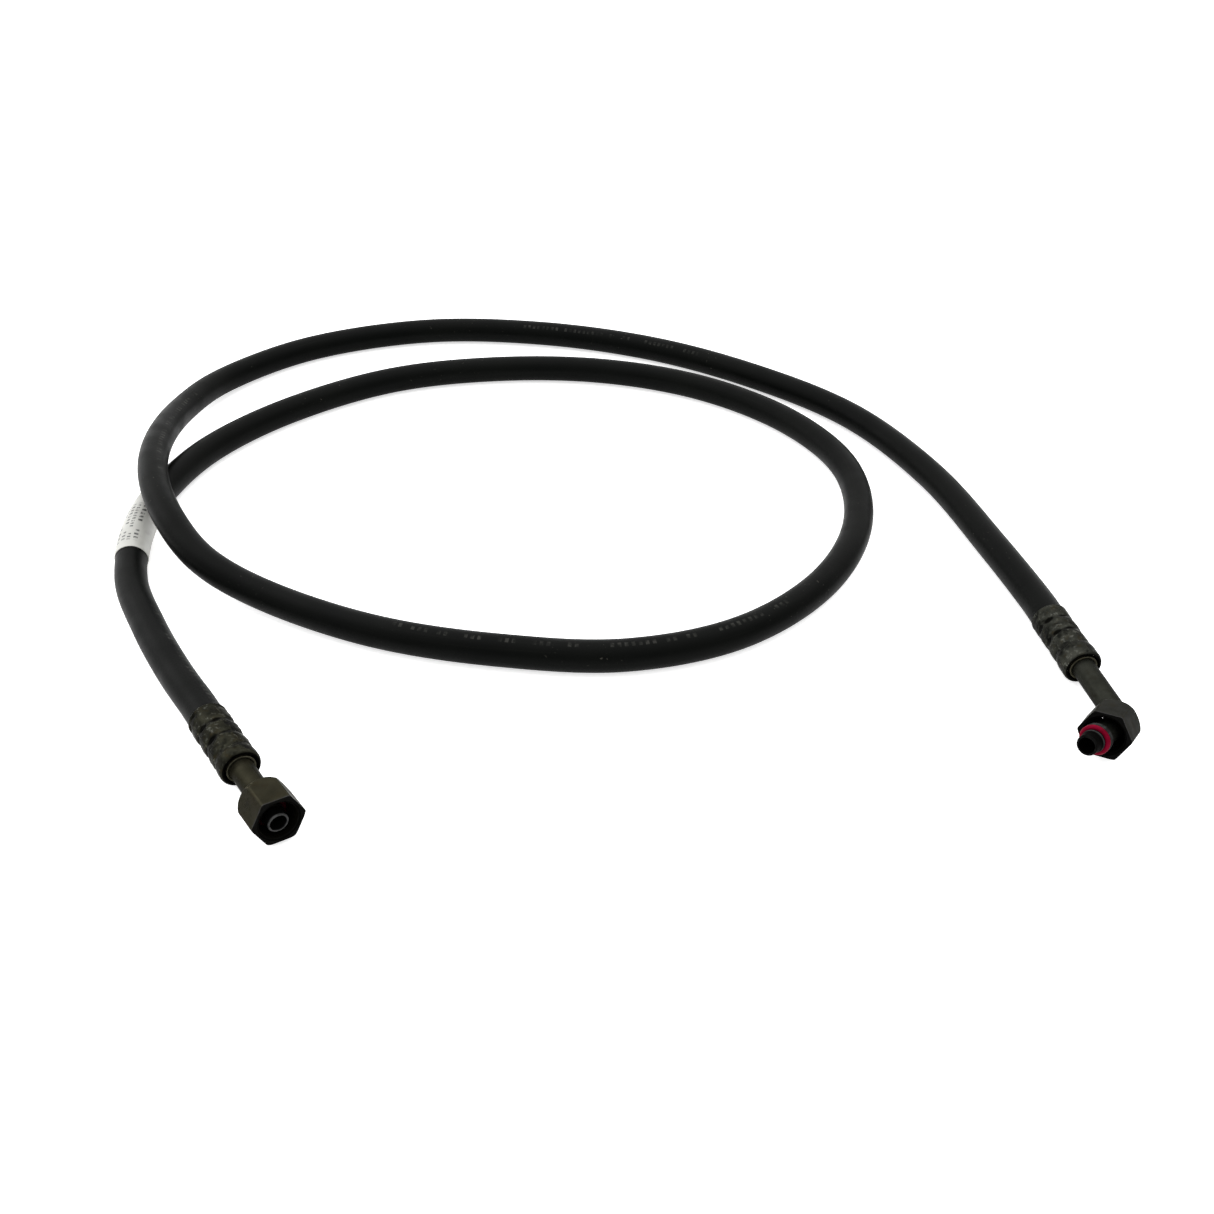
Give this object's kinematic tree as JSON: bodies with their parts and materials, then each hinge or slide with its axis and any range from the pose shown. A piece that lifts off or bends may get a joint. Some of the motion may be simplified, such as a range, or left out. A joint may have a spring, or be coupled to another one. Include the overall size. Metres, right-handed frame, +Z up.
{
  "type": "hydraulic hose assembly",
  "caption": "Thick black rubber pressure hose lying in a loop, with a crimped swivel nut fitting on each end: one straight, one elbowed.",
  "frame": {"origin": "middle of the laid-out loop's bounding box, on the floor", "axes": "+Z up, -Y towards the two fittings, +X towards the elbowed fitting"},
  "size_m": [0.5934, 0.5716, 0.04],
  "materials": {
    "cover_rubber": "satin",
    "inner_rubber": "matte",
    "wire_braid": "satin",
    "dark_steel": "satin",
    "tube_steel": "satin",
    "nut_steel": "satin",
    "stem_steel": "satin",
    "red_seal": "satin",
    "label_film": "satin"
  },
  "bodies": {
    "hose_and_stems": {"hose_inner_tube": "inner_rubber", "hose_inner_wire_braid": "wire_braid", "hose_rubber_interlayer": "inner_rubber", "hose_outer_wire_braid": "wire_braid", "hose_cover": "cover_rubber", "identification_label": "label_film", "left_ferrule": "dark_steel", "left_insert": "stem_steel", "left_tube": "tube_steel", "left_o_ring": "red_seal", "right_ferrule": "dark_steel", "right_insert": "stem_steel", "right_tube": "tube_steel", "right_o_ring": "red_seal"},
    "left_nut": {"left_swivel_nut": "nut_steel"},
    "right_nut": {"right_swivel_nut": "nut_steel"}
  },
  "joints": [
    {"name": "left_nut_spin", "type": "hinge", "parent": "hose_and_stems", "child": "left_nut", "pos_m": [-0.14578, -0.26014, 0.01206], "axis": [0.5834, -0.803, 0.1219], "continuous": true},
    {"name": "right_nut_spin", "type": "hinge", "parent": "hose_and_stems", "child": "right_nut", "pos_m": [0.28667, -0.20618, 0.01261], "axis": [-0.5826, -0.7732, 0.2504], "continuous": true}
  ]
}
